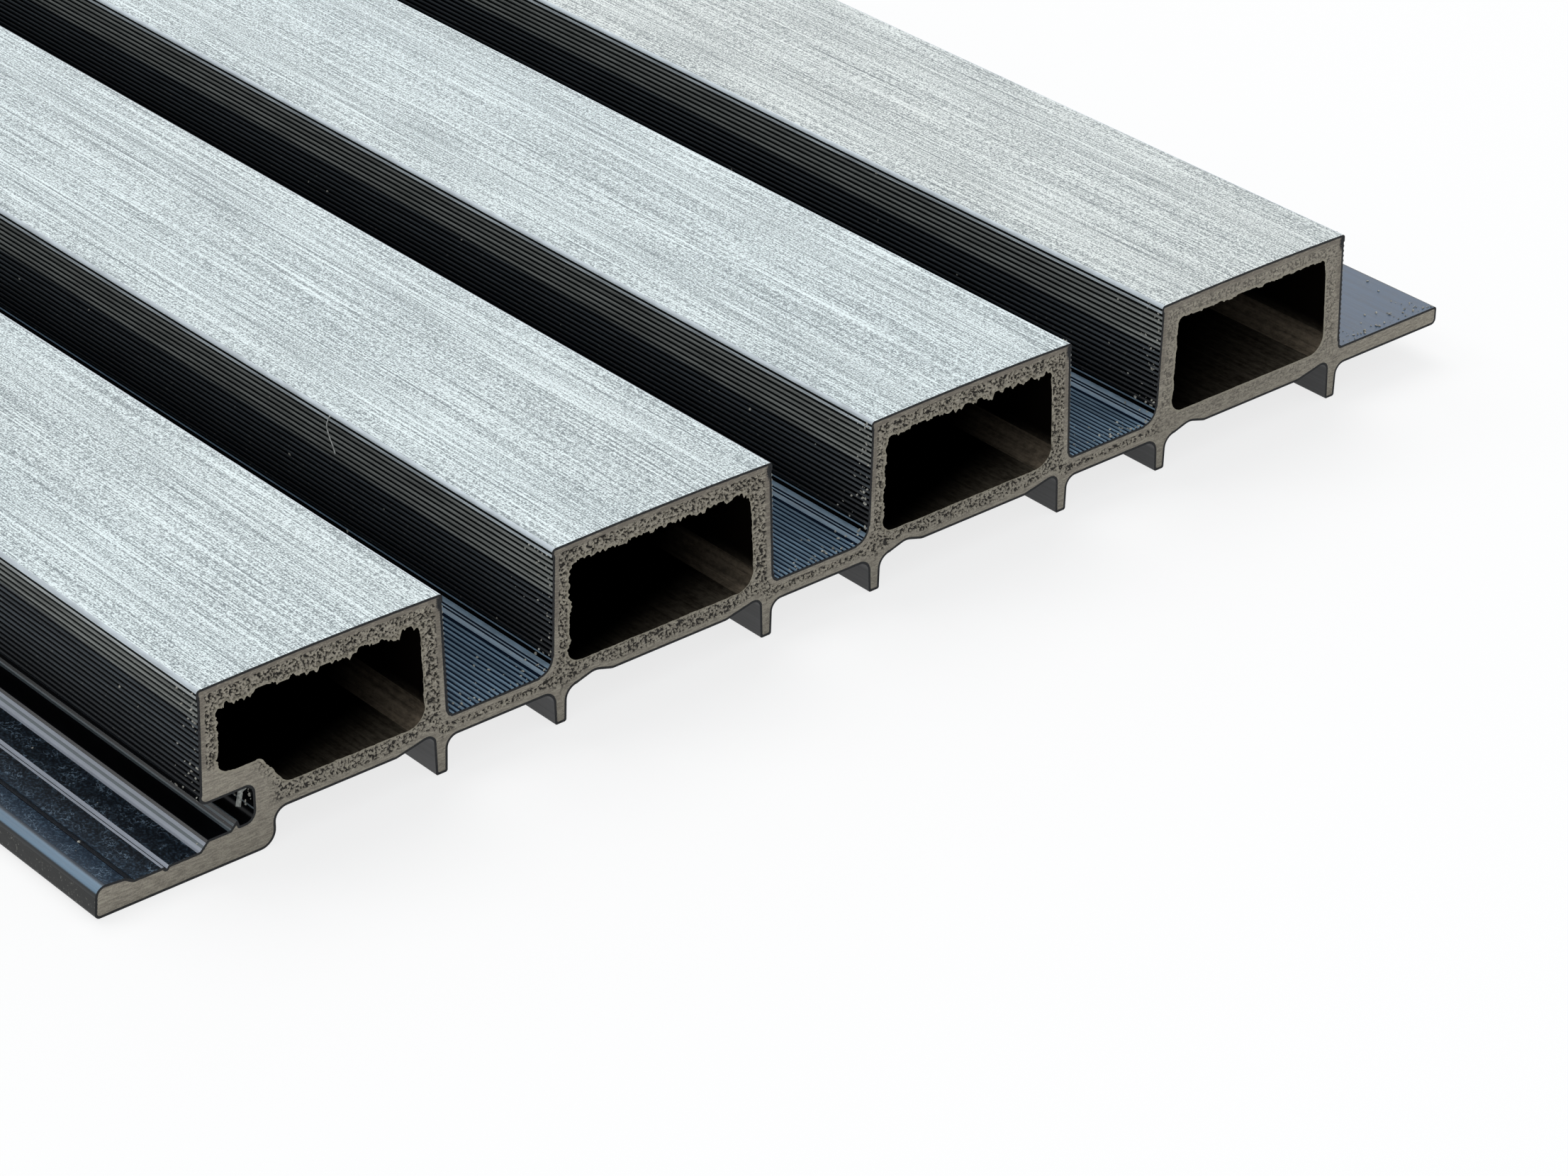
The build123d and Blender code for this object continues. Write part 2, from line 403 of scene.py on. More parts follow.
def flangeCorners():
    s = section
    recessLeft = stepBottom - s["recessWidth"]
    rampTop = recessLeft - s["rampRun"]
    recessFloor = flangeTop - s["stepDrop"]
    landEnd = recessFloor + s["landRise"]
    root = slotInner + s["rootClear"]
    groove = stepBottom - s["screwGrooveInset"]
    grooveFoot = recessFloor - s["screwGrooveDepth"]
    halfGroove = s["screwGrooveWidth"] / 2
    halfFoot = 0.05  # half the flat at the groove's foot
    crest = (barbFoot + s["barbRamp"], s["barbHeight"] + slotFloor)
    cornerTop = slotFloor + s["slotFloorRadius"]
    corners = [
        (root, underside, s["rootFillet"], "under"),
        (root, 0, s["rootCornerRadius"], "under"),
        (flangeTip, 0, s["flangeBottomRadius"], "tip"),
        (flangeTip + s["tipDraft"], landEnd + s["landSlope"], s["tipRadius"], ("tipRound", "flange")),
        (rampTop, landEnd, s["recessRadius"], "gloss"),
        (recessLeft, recessFloor, s["recessRadius"], "flange"),
        (groove - halfGroove - ribbonReach["beforeGroove"], recessFloor, 0, "ribbon"),
        (groove - halfGroove, recessFloor, 0, "ribbonDim"),
        (groove - halfGroove + grooveLine[0], recessFloor - grooveLine[1], 0, "ribbon"),
        (groove - halfFoot, grooveFoot, 0, "gloss"),
        (groove + halfFoot, grooveFoot, 0, "ribbon"),
        (groove + halfGroove, recessFloor, 0, "flange"),
        (stepBottom - ribbonReach["beforeStep"], recessFloor, 0, "ribbon"),
        (stepBottom, recessFloor, s["recessRadius"], "ribbon"),
    ]
    corners += part((stepBottom, recessFloor), (stepTop, flangeTop), stepLines)
    corners += [
        (stepTop, flangeTop, s["recessRadius"], "gloss"),
        (barbFoot - ribbonReach["beforeBarb"], flangeTop, 0, "ribbonDim"),
        (barbFoot, flangeTop, 0, "ribbonDim"),
    ]
    corners += part((barbFoot, flangeTop), crest, barbLines)
    return corners + [
        (*crest, s["barbCrestRadius"], ("ribbonDim", "gloss")),
        (crest[0] + s["barbBack"], slotFloor, 0, "gloss"),
        (slotInner, slotFloor, s["slotFloorRadius"], "gloss"),
        (slotInner, cornerTop + slotLine[0], 0, "ribbonDim"),
        (slotInner, cornerTop + slotLine[1], 0, "gloss"),
        (slotInner, slotRoof, s["slotRoofRadius"], "gloss"),
    ]


def outlineCorners():  # once round, clockwise from the first rib's nose
    corners = []
    for centre in ribCentres:
        corners += ribCorners(centre)
    corners.append((lipTip, lipTop, section["lipTopRadius"], "under"))
    corners.append((lipTip, underside, section["lipBottomRadius"], "under"))
    for centre in reversed(ribCentres[1:]):
        corners += footCorners(centre, 1) + footCorners(centre, -1)
    return corners + footCorners(0, 1) + flangeCorners()


def chamberCorners(centre):  # counterclockwise seen the same way, so that its walls face inwards
    s = section
    first = centre == 0
    leftTop = ribOutline(centre)[1][0] + (s["lastLeftWall"] if centre == lastRib else s["leftWall"])
    rightTop = centre + halfTop - s["rightWall"]
    leftFoot = leftTop - s["ribSideDraft"]
    if first:
        web, pocketFloor = slotInner + s["webOffset"], slotRoof + s["noseThickness"]
        corners = [(leftFoot, pocketFloor, s["chamberLeftRadius"], "pocket"),
                   (web, pocketFloor, s["webTopRadius"], "web"),
                   (web + s["webRun"], grooveFloor, s["chamberLeftRadius"], "base")]
    else:
        corners = [(leftFoot, grooveFloor, s["chamberLeftRadius"], "base")]
    return corners + [
        (rightTop + s["ribSideDraft"], grooveFloor, s["chamberRightRadius"], ("streak", "right")),
        (rightTop, chamberRoof, s["chamberTopRadius"], "roof"),
        (leftTop, chamberRoof, s["chamberTopRadius"], "left"),
    ]


arcs = {"step": 9.0, "longest": 3.0, "finer": 4}  # degrees, millimetres, and times finer where zones change


def zoneAt(stops, share):
    return [name for start, name in stops if start <= share][-1]


def roundedLoop(corners):  # points (x, z, zone of the run that follows)
    points = []
    for index, (x, z, radius, zone) in enumerate(corners):
        corner = Vector((x, z))
        arcZone, runZone = zone if isinstance(zone, tuple) else (zone, zone)
        if radius == 0:
            points.append((x, z, runZone))
            continue
        back = (Vector(corners[index - 1][:2]) - corner).normalized()
        ahead = (Vector(corners[(index + 1) % len(corners)][:2]) - corner).normalized()
        half = back.angle(ahead) / 2
        middle = corner + (back + ahead).normalized() * (radius / sin(half))
        spokeStart = corner + back * (radius / tan(half)) - middle
        turn = pi - 2 * half
        way = 1 if back.cross(ahead) < 0 else -1
        steps = max(3, ceil(turn / radians(arcs["step"])), ceil(turn * radius / arcs["longest"]))
        stops = [(0, arcZone)]
        if isinstance(arcZone, list):
            stops = arcZone
            steps *= arcs["finer"]
        for step in range(steps + 1):
            spoke = Matrix.Rotation(way * turn * step / steps, 2) @ spokeStart
            here = zoneAt(stops, step / steps) if step < steps else runZone
            points.append((middle.x + spoke.x, middle.y + spoke.y, here))
    apart = [points[0]]
    for point in points[1:]:
        if distanceTo(apart[-1], point) > 1e-4:
            apart.append(point)
    return apart


outerLoop = roundedLoop(outlineCorners())
chamberLoops = [roundedLoop(chamberCorners(centre)) for centre in ribCentres]
widthMiddle = (min(p[0] for p in outerLoop) + max(p[0] for p in outerLoop)) / 2
acrossShift = (cadLow.x + cadHigh.x) / 2 / mm - widthMiddle
print("section drawn:", len(outerLoop), "points, from the frame's box by",
      round(max(p[0] for p in outerLoop) + acrossShift - cadHigh.x / mm, 3), "mm")


def placed(x, y, z):  # section millimetres to the frame's metres, y being metres already
    return ((x + acrossShift) * mm, y, z * mm)


def newPiece(name, points, edges, faces):
    mesh = bpy.data.meshes.new(name)
    mesh.from_pydata(points, edges, faces)
    piece = bpy.data.objects.new(name, mesh)
    bpy.context.scene.collection.objects.link(piece)
    return piece


def store(piece, label, values, kind="FLOAT"):
    field = "vector" if kind == "FLOAT_VECTOR" else "value"
    piece.data.attributes.new(label, kind, "POINT").data.foreach_set(field, values)


def cappedPrism(name, loops, near, far, rings, finishes, frontExtra=(), backExtra=()):
    # loops of (x, z, zone) drawn out from y near to y far, with both ends closed
    points, faces, zones = [], [], []
    for loop in loops:
        for ring in range(rings + 1):
            y = near + (far - near) * ring / rings
            points += [placed(x, y, z) for x, z, zone in loop]
        start = len(points) - len(loop) * (rings + 1)
        for ring in range(rings):
            here, there = start + ring * len(loop), start + (ring + 1) * len(loop)
            for index, (x, z, zone) in enumerate(loop):
                after = (index + 1) % len(loop)
                faces.append((here + index, here + after, there + after, there + index))
                zones.append(zone)
    for y, extra, front in ((near, frontExtra, True), (far, backExtra, False)):
        flat, triangles = filled(loops, extra)
        start = len(points)
        points += [placed(x, y, z) for x, z in flat]
        for a, b, c in triangles:
            corners = (a, b, c) if front else (c, b, a)
            faces.append([start + corner for corner in corners])
            zones.append("end")
    piece = newPiece(name, points, [], faces)
    worn = list(dict.fromkeys([finishes["end"]] + [finishes[zone] for zone in zones]))
    for material in worn:
        piece.data.materials.append(material)
    piece.data.polygons.foreach_set("material_index", [worn.index(finishes[zone]) for zone in zones])
    work = bmesh.new()
    work.from_mesh(piece.data)
    bmesh.ops.remove_doubles(work, verts=work.verts, dist=2e-6)
    work.to_mesh(piece.data)
    work.free()
    return piece


def filled(loops, extra):  # triangles inside the first loop and outside the others
    flat, edges = [], []
    for loop in loops:
        start, count = len(flat), len(loop)
        flat += [Vector(point[:2]) for point in loop]
        edges += [(start + index, start + (index + 1) % count) for index in range(count)]
    flat += [Vector(point) for point in extra]
    found = delaunay_2d_cdt(flat, edges, [], 2, 1e-6)
    places = np.array([tuple(v) for v in found[0]])
    triangles = np.array([tuple(face) for face in found[2] if len(face) == 3])
    middles = places[triangles].mean(axis=1)
    keep = insideLoops(middles, loops)
    return [tuple(p) for p in places], [tuple(t) for t in triangles[keep]]


def insideLoops(points, loops):  # an odd number of crossings to the right
    odd = np.zeros(len(points), bool)
    starts = np.array([p[:2] for loop in loops for p in loop])
    ends = np.array([p[:2] for loop in loops for p in loop[1:] + loop[:1]])
    for (x0, z0), (x1, z1) in zip(starts, ends):
        if z0 == z1:
            continue
        crosses = (points[:, 1] > z0) != (points[:, 1] > z1)
        odd ^= crosses & (points[:, 0] < x0 + (points[:, 1] - z0) * (x1 - x0) / (z1 - z0))
    return odd


def smoothMesh(piece, angle):
    piece.data.shade_smooth()
    piece.data.set_sharp_from_angle(angle=radians(angle))


# the sawn ends: thin slices of the section, torn where the saw left the hollows' edges
sawnEnd = {
    "thickness": 0.8,
    "grain": 0.17,
    "capThickness": 0.30,
    "pitDepth": 0.26,
    "cellsPerMm": 3.1,
    "tornStep": 0.13,
    "tornSpread": 7,  # steps to each side that a change of zone is blended over
    "tornReach": {
        "roof": 1.35, "left": 0.8, "right": 0.2, "web": 0.3, "pocket": 0.2, "base": 0.12, "streak": 0.12},
    # layers of tearing: turns to the millimetre, layer, start, strength and limit
    "tears": [(2.6, 0.3, 0.0, 0.5, 1.0), (0.8, 4.7, 0.0, 2.2, 0.34), (0.33, 9.1, 0.10, 3.0, 0.45)],
    "tornShare": (1.0, 0.9, 0.8, 0.3),  # how torn each hollow is
    "seeds": {"front_cut_face": 3.0, "back_cut_face": 57.0},
}


def resampled(loop, step):  # evenly spaced points with their zone and the side that the hollow is on
    out = []
    for index, (x, z, zone) in enumerate(loop):
        nextX, nextZ = loop[(index + 1) % len(loop)][:2]
        span = hypot(nextX - x, nextZ - z)
        count = max(1, round(span / step))
        side = (-(nextZ - z) / span, (nextX - x) / span)
        for part in range(count):
            share = part / count
            out.append((x + (nextX - x) * share, z + (nextZ - z) * share, zone, side))
    return out


def tornLoop(loop, seed, amount):  # crumbs and flaps that hang from the edge into the hollow
    points = resampled(loop, sawnEnd["tornStep"])
    reach = [sawnEnd["tornReach"][point[2]] for point in points]
    window = range(-sawnEnd["tornSpread"], sawnEnd["tornSpread"] + 1)
    torn = []
    for index, (x, z, zone, side) in enumerate(points):
        near = sum(reach[(index + shift) % len(points)] for shift in window) / len(window)
        run = index * sawnEnd["tornStep"]
        hang = 0.05
        for turns, layer, start, strength, limit in sawnEnd["tears"]:
            wave = noise.noise(Vector((run * turns, seed, layer)))
            hang += min(limit, max(0.0, wave - start) * strength)
        hang *= amount * near
        torn.append((x + side[0] * hang, z + side[1] * hang, zone))
    return torn


def grains(loops, clear):  # a jittered grid of points inside the section
    step = sawnEnd["grain"]
    low = min(p[0] for p in loops[0]), min(p[1] for p in loops[0])
    high = max(p[0] for p in loops[0]), max(p[1] for p in loops[0])
    xs, zs = np.meshgrid(np.arange(low[0], high[0], step), np.arange(low[1], high[1], step))
    shake = np.random.default_rng(11).uniform(-0.3, 0.3, (2, xs.size)) * step
    points = np.stack([xs.ravel() + shake[0], zs.ravel() + shake[1]], axis=1)
    points = points[insideLoops(points, loops)]
    edge = edgeTree(loops, step / 2)
    return [tuple(p) for p in points if edge.find((p[0], p[1], 0))[2] > clear]


def edgeTree(loops, step):
    points = [point for loop in loops for point in resampled(loop, step)]
    tree = kdtree.KDTree(len(points))
    for index, point in enumerate(points):
        tree.insert((point[0], point[1], 0), index)
    tree.balance()
    return tree


def makeCutFace(name, outward, finishes):
    seed = sawnEnd["seeds"][name]
    thick = sawnEnd["thickness"] * mm
    loops = [outerLoop]
    for index, loop in enumerate(chamberLoops):
        loops.append(tornLoop(loop, seed + index, sawnEnd["tornShare"][index]))
    extra = grains(loops, sawnEnd["grain"] * 0.6)
    front = outward < 0
    near = cadLow.y if front else cadHigh.y - thick
    ends = (extra, ()) if front else ((), extra)
    piece = cappedPrism(name, loops, near, near + thick, 1, finishes, *ends)
    storeDepths(piece, cadLow.y if front else cadHigh.y, loops)
    return piece


def storeDepths(piece, level, loops):  # how far each point is from the skin and from the hollows
    skin, edge, hollowEdge = edgeTree(loops[:1], 0.05), edgeTree(loops, 0.1), edgeTree(loops[1:], 0.1)
    inward, foam, rims = [], [], []
    for vertex in piece.data.vertices:
        x, z = vertex.co.x / mm - acrossShift, vertex.co.z / mm
        depth = skin.find((x, z, 0))[2]
        onFace = abs(vertex.co.y - level) < 1e-6
        fromEdge = edge.find((x, z, 0))[2]
        inward.append(depth)
        foam.append(min(1.0, fromEdge / 0.3) * cellular(x, z, depth) if onFace else 0.0)
        rims.append(hollowEdge.find((x, z, 0))[2])
    for label, values in (("inward", inward), ("foam", foam), ("rim", rims)):
        store(piece, label, values)


def cellular(x, z, depth):  # 1 where the core is full of cells, near 0 where it is dense
    def ramp(value, low, high):
        share = min(1.0, max(0.0, (value - low) / (high - low)))
        return share * share * (3 - 2 * share)
    body = ramp(depth, 0.8, 1.25)
    nose = (1 - ramp(x, -11.5, -6.5)) * (1 - ramp(z, 12.6, 15.0))
    flange = 1 - ramp(x, -9.5, -5.5)
    low = 1 - ramp(z, 4.5, 6.0)
    lip = ramp(x, lastRib + halfBase, lastRib + halfBase + 3.0)
    plate = 1 - ramp(z, grooveFloor, grooveFloor + 2.0)
    dense = ramp(x, lastRib - halfBase - 2.0, lastRib - halfBase + 2.0)
    share = body * (1 - 0.9 * nose) * (1 - 0.95 * flange * (1 - ramp(z, 8.0, 12.0)))
    return share * (1 - 0.6 * low) * (1 - 0.9 * lip) * (1 - 0.25 * plate) * (1 - 0.65 * dense)


# node trees for what repeats

def newNodes(name, **sizes):  # a tree with a named input for each size, count or material
    tree = bpy.data.node_groups.new(name, "GeometryNodeTree")
    for way in ("OUTPUT", "INPUT"):
        tree.interface.new_socket("Geometry", in_out=way, socket_type="NodeSocketGeometry")
    kinds = {float: "NodeSocketFloat", int: "NodeSocketInt", type(None): "NodeSocketMaterial"}
    for label, value in sizes.items():
        socket = tree.interface.new_socket(label, in_out="INPUT", socket_type=kinds[type(value)])
        if value is not None:
            socket.default_value = value
    board = Board(tree)
    return tree, board, board.add("NodeGroupInput").sibling


def endNodes(board, shape, finish, smooth=True, chosen=True):
    shape = board.add("GeometryNodeRealizeInstances", None, {"Geometry": shape})
    if smooth:
        shape = board.add("GeometryNodeSetShadeSmooth", None, {"Geometry": shape})
    shape = board.add("GeometryNodeSetMaterial", None,
                      {"Geometry": shape, "Selection": chosen, "Material": finish})
    board.add("NodeGroupOutput", None, {"Geometry": shape})


def runNodes(piece, tree, values):  # sets the inputs, runs the tree and keeps its result as a plain mesh
    modifier = piece.modifiers.new("shape", "NODES")
    modifier.node_group = tree
    for item in tree.interface.items_tree:
        if item.item_type == "SOCKET" and item.in_out == "INPUT" and item.name in values:
            modifier[item.identifier] = values[item.name]
    bpy.context.view_layer.update()
    evaluated = piece.evaluated_get(bpy.context.evaluated_depsgraph_get())
    made = bpy.data.meshes.new_from_object(evaluated)
    piece.modifiers.clear()
    piece.data = made
    return piece


def beadTree():  # a rounded bead on every point of a run, turned to face out of its wall
    tree, board, given = newNodes("fineBeads", Pitch=0.0007, Width=0.0004, Height=0.00015, Length=1.0,
                                  Sides=10, Finish=None)
    curve = board.add("GeometryNodeMeshToCurve", None, {"Mesh": given("Geometry")})
    spaced = board.add("GeometryNodeResampleCurve", {"mode": "LENGTH"},
                       {"Curve": curve, "Length": given("Pitch")})
    spots = board.add("GeometryNodeCurveToPoints", {"mode": "EVALUATED"}, {"Curve": spaced})
    rod = board.add("GeometryNodeMeshCylinder", {"fill_type": "TRIANGLE_FAN"},
                    {"Vertices": given("Sides"), "Radius": 1.0, "Depth": given("Length")})
    oval = board.add("ShaderNodeCombineXYZ", None,
                     {0: given("Width") * 0.5, 1: given("Height"), 2: 1.0})
    thin = board.add("GeometryNodeTransform", None, {"Geometry": rod, "Scale": oval})
    laid = board.add("GeometryNodeTransform", None, {"Geometry": thin, "Rotation": (pi / 2, 0, 0)})
    outward = board.attribute("outward", "FLOAT_VECTOR")
    turn = board.add("FunctionNodeAlignRotationToVector", {"axis": "Z", "pivot_axis": "Y"},
                     {"Vector": outward})
    beads = board.add("GeometryNodeInstanceOnPoints", None,
                      {"Points": spots, "Instance": laid, "Rotation": turn})
    endNodes(board, beads, given("Finish"))
    return tree


def beadRuns():  # (first bead, last bead, outward) of every beaded wall and floor
    runs = []

    def add(start, end, first, count):  # the wall's outside is on the left of start to end
        span = distanceTo(start, end)
        outward = (-(end[1] - start[1]) / span, (end[0] - start[0]) / span)
        places = (first, first + (count - 1) * bead["pitch"])
        runs.append((*[along(start, end, place, bead["height"]) for place in places], outward))

    for centre in ribCentres:
        bottomLeft, topLeft, topRight, bottomRight = ribOutline(centre)
        add(topRight, bottomRight, bead["firstDown"], bead["onRightWall"])
        count = bead["onNose"] if centre == 0 else bead["onLeftWall"]
        lowest = distanceTo(bottomLeft, topLeft) - bead["firstDown"] - (count - 1) * bead["pitch"]
        add(bottomLeft, topLeft, lowest, count)
        if centre != lastRib:
            add(bottomRight, nextRibFoot(centre), bead["firstAcross"], bead["onFloor"])
    return runs


def makeBeads(finish):
    points, edges, outward = [], [], []
    for start, end, side in beadRuns():
        edges.append((len(points), len(points) + 1))
        points += [placed(x, (cadLow.y + cadHigh.y) / 2, z) for x, z in (start, end)]
        outward += [side[0], 0.0, side[1]] * 2
    piece = newPiece("fine_beads", points, edges, [])
    store(piece, "outward", outward, "FLOAT_VECTOR")
    return runNodes(piece, beadTree(), {
        "Pitch": bead["pitch"] * mm * 1.0001,  # a hair over, so that rounding adds no bead
        "Width": bead["width"] * mm, "Height": bead["height"] * mm,
        "Length": cadHigh.y - cadLow.y - 0.04 * mm, "Sides": bead["sides"], "Finish": finish})


# finishes

brushed = {
    "dark": paint(96, 110, 115),
    "light": paint(232, 244, 246),
    "warm": paint(255, 246, 240),
    "roughness": 0.42,
    "lines": 1.25,  # how strongly each layer shows
    "dashes": 1.0,
    "mottle": 2.5,
    "brightLines": 0.44,
    "darkLines": 0.44,
    "evenPitch": 0.78,  # even fine lines, on the second rib's right half
    "evenLines": 0.10,
}


def brushedTop():  # the rib tops: a fine mottle under thin lengthwise brush lines
    board = materialBoard("brushedTop")
    b = brushed
    across = board.spot("X")
    mottle = board.cloud((4.6, 3.6, 4.6), 1.0, 0.8)
    dashes = board.cloud((4.4, 1.0, 0), 1.0, 0.6)
    lines = board.cloud((3.8, 0.02, 0), 1.0, 0.8)
    broad = board.cloud((0.22, 0.004, 0), 1.0)
    broken = board.spread(board.cloud((2.6, 0.03, 0), 1.0), 0.38, 0.62)
    bright = board.line((1.9, 0.012, 0), 0.05) * broken
    dark = board.line((2.3, 0.02, 3.0), 0.04) * (1 - broken)
    even = (across * (2 * pi / b["evenPitch"])).maths("SINE")
    evenHalf = board.spread(across, 50, 54) * board.spread(across, 68, 70, 1.0, 0.0)
    light = (lines - 0.5) * b["lines"] + (dashes - 0.5) * b["dashes"] + (mottle - 0.5) * b["mottle"] + 0.5
    light = light + (broad - 0.5) * 0.15 + even * evenHalf * b["evenLines"]
    light = light + bright * b["brightLines"] - dark * b["darkLines"]
    colour = board.mix(board.spread(light, -0.05, 1.05), b["dark"], b["light"])
    warmth = board.spread(across, lastRib - 25, lastRib - 20) * 0.6 + board.cloud((0.05, 0.01, 0)) * 0.4
    colour = board.mix(warmth, colour, b["warm"], "MULTIPLY")
    relief = lines * 0.5 + dashes * 0.4 + mottle * 0.5 + bright * 0.2 - dark * 0.3
    return board.finish(colour, b["roughness"] + (mottle - 0.5) * 0.25, board.bump(0.4, 0.06, relief))


flute = {
    "wallGap": paint(2, 2, 3),
    # floorGap and floorBead: navy and steel blue, a painted reflection of the sky on the floors
    "floorGap": paint(9, 21, 37),
    "wallBead": paint(78, 85, 90),
    # painted shade on the lower part of the walls
    "shadedWallBead": paint(22, 26, 31),
    "floorBead": paint(130, 158, 180),
    # painted light on the walls' upper band: its wide ridge, its beads and its gaps
    "paintedLitRidge": paint(220, 228, 232),  # painted highlight on the wide ridge over the beads, in the walls' painted lit band
    "paintedLitBead": paint(152, 155, 151),
    "paintedLitGap": paint(24, 27, 26),
    "dust": paint(176, 176, 170),
    "paintedLitDown": 6.1,  # how far down a wall the painted lit band reaches; below it the wall is in painted shade
    "firstPaintedLitDown": 3.9,
    "gapRoughness": 0.5,
    "beadRoughness": 0.36,
}


def onFloor(board, height):  # 1 on a flute's floor, 0 on its walls
    return board.spread(height, grooveFloor + 0.62, grooveFloor + 0.70, 1.0, 0.0)


def pastNose(board, across, atNose, past):  # one value on the first rib's nose and another past it
    return board.spread(across, noseOuter + 2, noseOuter + 4, atNose, past)


def paintedLitBand(board, across, height):  # 1 in each wall's upper band, which is painted lighter as light that falls on it, with a sharp edge to the painted shade below
    down = pastNose(board, across, flute["firstPaintedLitDown"], flute["paintedLitDown"])
    drift = (board.cloud((0, 0.01, 0)) - 0.5) * 0.8
    return board.spread(down + height - drift, ribTop - 0.1, ribTop + 0.25)


def gapSkin():  # between the beads: nearly black on the walls, lighter in their painted lit upper band, and navy on the floors as a painted reflection of the sky
    board = materialBoard("gapSkin")
    across, height = board.spot("X"), board.spot("Z")
    shade = board.cloud((1.2, 0.05, 1.2), 2.0)
    # painted reflection of the sky: navy on the floors
    colour = board.mix(onFloor(board, height), flute["wallGap"], flute["floorGap"])
    # painted light: the gaps lighter in the walls' upper band
    paintedLit = paintedLitBand(board, across, height) * board.spread(shade, 0.2, 0.8, 0.6, 1.0)
    colour = board.mix(paintedLit, colour, flute["paintedLitGap"])
    roughness = flute["gapRoughness"] + (shade - 0.5) * 0.2
    return board.finish(colour, roughness, board.bump(0.15, 0.04, shade), 0.02)


def beadSkin():  # the beads and plain bands: grey on the walls, with painted shade lower down and painted light in their upper band, and steel blue on the floors as a painted reflection of the sky
    board = materialBoard("beadSkin")
    across, height = board.spot("X"), board.spot("Z")
    dashes = board.cloud((1.4, 0.10, 1.4), 3.0, 0.65)
    dust = board.spread(board.cloud((2.5, 1.2, 2.5), 2.0, 0.7), 0.62, 0.75)
    # painted shade: the wall beads darken down towards the floor
    up = board.spread(height, grooveFloor + 2, ribTop - 6)
    wall = board.mix(up, flute["shadedWallBead"], flute["wallBead"])
    # painted reflection of the sky: steel blue on the floors
    colour = board.mix(onFloor(board, height), wall, flute["floorBead"])
    # painted light: the walls' upper band lighter, with a painted highlight on its wide ridge
    ridge = board.spread(height, ribTop - 1.4, ribTop - 1.0) * pastNose(board, across, 0.25, 1.0)
    paintedLit = board.mix(ridge, flute["paintedLitBead"], flute["paintedLitRidge"])
    colour = board.mix(paintedLitBand(board, across, height), colour, paintedLit)
    colour = board.mix(board.spread(dashes, 0.30, 0.70, 0.45, 0.0), colour, black)
    colour = board.mix(dust * 0.18, colour, flute["dust"])
    roughness = flute["beadRoughness"] + (dashes - 0.5) * 0.2
    return board.finish(colour, roughness, board.bump(0.2, 0.04, dashes), 0.35)


# plain parts of the cap: shade, roughness, gloss, how blotchy and how dusty
capShades = {
    # a painted highlight along the rib tops' rounded corners
    "edge": (paint(204, 213, 219), 0.45, 0.3, 0.3, 0.0),
    # a painted reflection of the sky on the pale bands along the flutes' roots
    "floorPale": (paint(128, 150, 168), 0.4, 0.3, 0.4, 0.3),
    "gloss": (paint(9, 10, 13), 0.2, 0.3, 0.35, 0.0),
    # ribbon and ribbonDim: painted highlights on the flange's step, groove, barb and slot
    "ribbon": (paint(164, 170, 181), 0.35, 0.4, 0.2, 0.0),
    "ribbonDim": (paint(104, 114, 119), 0.35, 0.4, 0.2, 0.0),
    "tip": (paint(25, 27, 26), 0.5, 0.3, 0.5, 0.35),
    "lip": (paint(54, 78, 104), 0.36, 0.4, 0.3, 0.0),
}


def plainSkin(name):  # one shade of the cap, drawn lengthwise
    board = materialBoard(name + "Skin")
    shade, roughness, gloss, blotchy, dusty = capShades[name]
    drawn = board.cloud((1.6, 0.012, 1.6), 3.0, 0.6)
    grime = board.cloud((1.1, 0.35, 1.1), 3.0, 0.65)
    dim = board.spread(drawn * 0.5 + grime * 0.5, 0.32, 0.62, blotchy, 0.0)
    colour = board.mix(dim, shade, black)
    specks = board.spread(board.cloud((2.2, 2.2, 2.2), 3.0, 0.75), 0.60, 0.68)
    colour = board.mix(specks * dusty, colour, paint(170, 170, 160))
    bump = board.bump(0.18, 0.05, drawn + grime * 0.5)
    return board.finish(colour, roughness + (grime - 0.5) * 0.15, bump, gloss)


flangeCap = {
    "tip": paint(34, 37, 38),
    "tipBand": paint(114, 138, 158),  # painted highlight, pale blue, on the outer half of the rounded tip
    "tipInner": paint(24, 42, 58),
    "outer": paint(24, 40, 56),
    "inner": paint(9, 15, 22),
    "mottle": paint(80, 106, 128),
    "curls": paint(128, 150, 170),
}


def tipRoundSkin():
    board = materialBoard("tipRoundSkin")
    across = board.spot("X")
    # a painted highlight along the outer half of the rounded tip
    highlight = board.spread(across, flangeTip + 0.38, flangeTip + 0.52)
    inner = board.spread(across, flangeTip + 1.15, flangeTip + 1.5)
    streaks = board.cloud((1.2, 0.02, 1.2), 2.0)
    colour = board.mix(highlight, flangeCap["tip"], flangeCap["tipBand"])
    colour = board.mix(inner, colour, flangeCap["tipInner"])
    colour = board.mix(board.spread(streaks, 0.3, 0.7, 0.3, 0.0), colour, black)
    return board.finish(colour, 0.36 + (streaks - 0.5) * 0.2, gloss=0.3)


